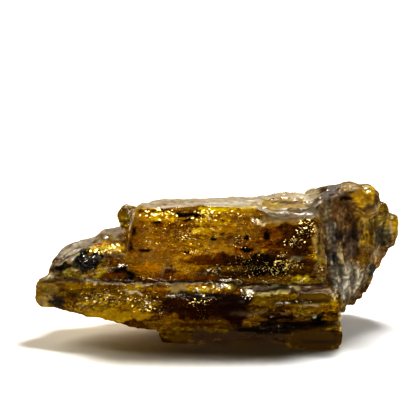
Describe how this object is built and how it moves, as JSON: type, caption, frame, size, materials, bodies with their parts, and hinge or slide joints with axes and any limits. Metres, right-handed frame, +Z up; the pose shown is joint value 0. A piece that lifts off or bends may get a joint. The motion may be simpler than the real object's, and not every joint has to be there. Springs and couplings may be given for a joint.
{
  "type": "raw copal piece",
  "caption": "Raw lump of copal resin: clear golden block on a layered slab with a blunt nose and a crusted lobe, lying on its flat feet.",
  "frame": {"origin": "middle of the piece's box, on the surface that it rests on", "axes": "+X towards the crusted lobe, along the longest extent; -Y out of the broken front face; +Z up"},
  "size_m": [0.0834, 0.0372, 0.0338],
  "materials": {
    "copal": "clear golden resin, glossy where it is broken, with a dull brown and grey crust on the outside"
  },
  "bodies": {
    "root": {"copal_piece": "copal"}
  },
  "joints": []
}
